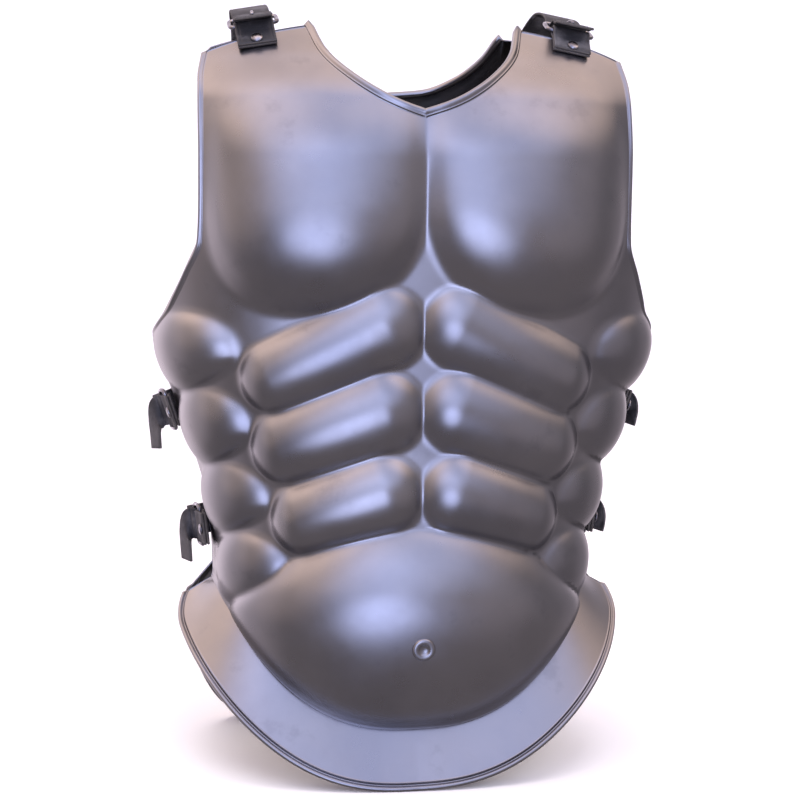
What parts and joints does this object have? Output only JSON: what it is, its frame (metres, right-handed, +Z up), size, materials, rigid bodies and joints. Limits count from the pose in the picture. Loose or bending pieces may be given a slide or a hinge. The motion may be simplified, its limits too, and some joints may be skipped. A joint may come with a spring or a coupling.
{
  "type": "muscle cuirass",
  "caption": "Muscle cuirass: embossed steel breastplate with flared waist flange, and a plain back plate, joined by buckled leather straps.",
  "frame": {"origin": "middle of the bottom of the whole cuirass, on the surface that it stands on", "axes": "+Z up the body, +Y towards the back plate, so the embossed front faces -Y, and +X to the right as seen from the front (the wearer's left)"},
  "size_m": [0.3837, 0.2647, 0.5685],
  "materials": {
    "plate_steel": "darkened satin steel, light handling marks",
    "strap_leather": "black, matt, lightly creased",
    "buckle_steel": "dark satin steel"
  },
  "bodies": {
    "root": {"front_plate": "plate_steel", "back_plate": "plate_steel", "left_upper_chape": "strap_leather", "left_upper_strap": "strap_leather", "left_upper_buckle": "buckle_steel", "left_upper_front_rivet": "buckle_steel", "left_upper_back_rivet": "buckle_steel", "left_lower_chape": "strap_leather", "left_lower_strap": "strap_leather", "left_lower_buckle": "buckle_steel", "left_lower_front_rivet": "buckle_steel", "left_lower_back_rivet": "buckle_steel", "right_upper_chape": "strap_leather", "right_upper_strap": "strap_leather", "right_upper_buckle": "buckle_steel", "right_upper_front_rivet": "buckle_steel", "right_upper_back_rivet": "buckle_steel", "right_lower_chape": "strap_leather", "right_lower_strap": "strap_leather", "right_lower_buckle": "buckle_steel", "right_lower_front_rivet": "buckle_steel", "right_lower_back_rivet": "buckle_steel", "left_shoulder_chape": "strap_leather", "left_shoulder_strap": "strap_leather", "left_shoulder_buckle": "buckle_steel", "left_shoulder_front_rivet": "buckle_steel", "left_shoulder_back_rivet": "buckle_steel", "left_shoulder_prong": "buckle_steel", "right_shoulder_chape": "strap_leather", "right_shoulder_strap": "strap_leather", "right_shoulder_buckle": "buckle_steel", "right_shoulder_front_rivet": "buckle_steel", "right_shoulder_back_rivet": "buckle_steel", "right_shoulder_prong": "buckle_steel"}
  },
  "joints": []
}
